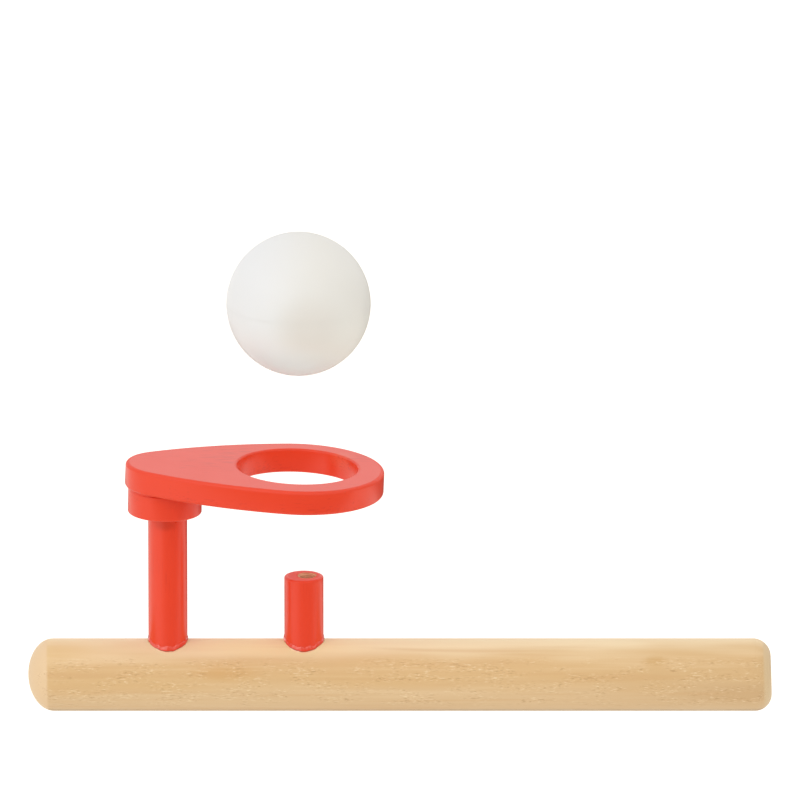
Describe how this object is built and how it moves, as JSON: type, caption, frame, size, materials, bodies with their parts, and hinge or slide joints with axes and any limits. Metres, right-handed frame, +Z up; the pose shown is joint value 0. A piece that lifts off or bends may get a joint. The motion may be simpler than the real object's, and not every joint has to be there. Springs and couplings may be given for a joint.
{
  "type": "blow ball pipe toy",
  "caption": "Wooden blow pipe with an upright air nozzle and a painted teardrop hoop on a post; a light hollow ball hovers on the jet and drops onto the hoop.",
  "frame": {"origin": "centre of the pipe's mouth end, on the axis of its bore", "axes": "+X out of the mouth end towards the player, +Z up along the nozzle and the post, +Y across the pipe"},
  "size_m": [0.208, 0.048, 0.138],
  "materials": {
    "bare_wood": "turned pale beech, sanded and left bare, fine short flecks along the grain",
    "red_paint": "wood under one thin satin coat of warm red paint, faint grain showing",
    "white_plastic": "smooth satin white moulded plastic skin"
  },
  "bodies": {
    "toy": {"pipe": "bare_wood", "nozzle": "red_paint", "post": "red_paint", "collar": "red_paint", "hoop_plate": "red_paint"},
    "ball": {"ball_lower_half": "white_plastic", "ball_upper_half": "white_plastic"}
  },
  "joints": [
    {"name": "ball_lift", "type": "slide", "parent": "toy", "child": "ball", "axis": [0, 0, 1], "range_m": [-0.0367, 0.04]}
  ]
}
